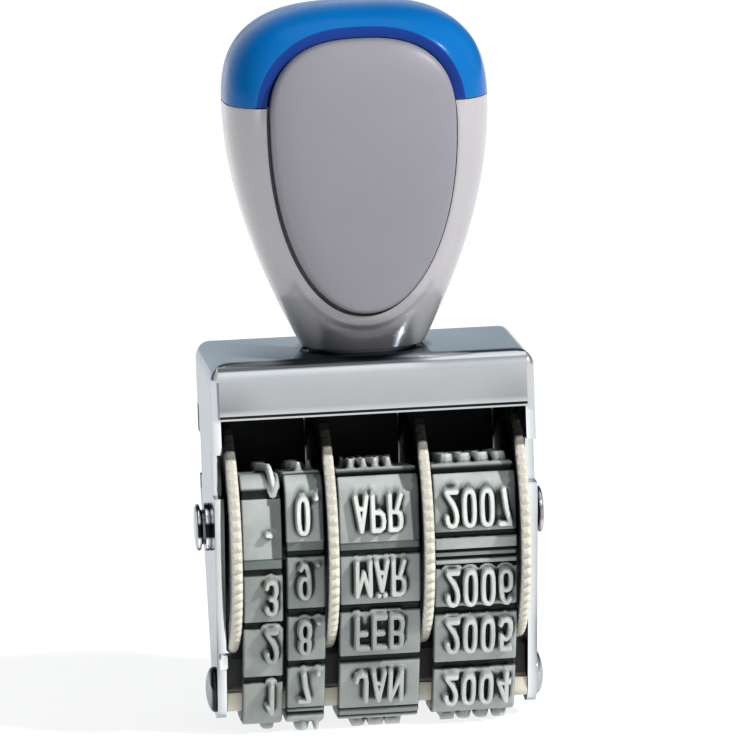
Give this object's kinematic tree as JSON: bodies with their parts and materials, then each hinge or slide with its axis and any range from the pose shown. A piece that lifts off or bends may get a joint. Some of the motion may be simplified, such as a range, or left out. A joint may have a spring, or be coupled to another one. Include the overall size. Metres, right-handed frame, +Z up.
{
  "type": "date stamp",
  "caption": "Hand date stamp: thumb wheels on an axle turn rubber type bands over a bridge in a bent sheet frame, under a moulded handle with a coloured cap.",
  "frame": {"origin": "middle of the printing line, on the faces of the type, under the axle and the handle", "axes": "+Z up along the handle, +X to the right along the axle and the printing line, front towards -Y"},
  "size_m": [0.0304, 0.0222, 0.0635],
  "materials": {
    "chrome_sheet": "bright chrome plate on sheet steel",
    "grey_plastic": "satin gloss moulding",
    "blue_plastic": "gloss moulding",
    "panel_plastic": "satin moulding",
    "dark_plastic": "satin moulding",
    "steel": "nickel plated turned steel",
    "ivory_plastic": "satin moulding",
    "band_rubber": "matt moulded rubber"
  },
  "bodies": {
    "stamp": {"frame": "chrome_sheet", "handle_body": "grey_plastic", "handle_cap": "blue_plastic", "front_panel": "panel_plastic", "rear_panel": "panel_plastic", "handle_neck": "dark_plastic", "handle_screw": "steel", "handle_nut": "steel", "screw_washer": "steel", "wheel_axle": "steel", "axle_washers": "steel", "spring_washer": "steel", "day_tens_band": "band_rubber", "day_units_band": "band_rubber", "month_band": "band_rubber", "year_band": "band_rubber", "bridge": "ivory_plastic", "bridge_rivets": "steel"},
    "day_tens": {"day_tens_wheel": "ivory_plastic"},
    "day_units": {"day_units_wheel": "ivory_plastic"},
    "month": {"month_wheel": "ivory_plastic"},
    "year": {"year_wheel": "ivory_plastic"}
  },
  "joints": [
    {"name": "day_tens_turn", "type": "hinge", "parent": "stamp", "child": "day_tens", "pos_m": [-0.0125, 0, 0.01815], "axis": [1, 0, 0], "continuous": true},
    {"name": "day_units_turn", "type": "hinge", "parent": "stamp", "child": "day_units", "pos_m": [-0.0042, 0, 0.01815], "axis": [1, 0, 0], "continuous": true},
    {"name": "month_turn", "type": "hinge", "parent": "stamp", "child": "month", "pos_m": [0.00405, 0, 0.01815], "axis": [1, 0, 0], "continuous": true},
    {"name": "year_turn", "type": "hinge", "parent": "stamp", "child": "year", "pos_m": [0.0124, 0, 0.01815], "axis": [1, 0, 0], "continuous": true}
  ]
}
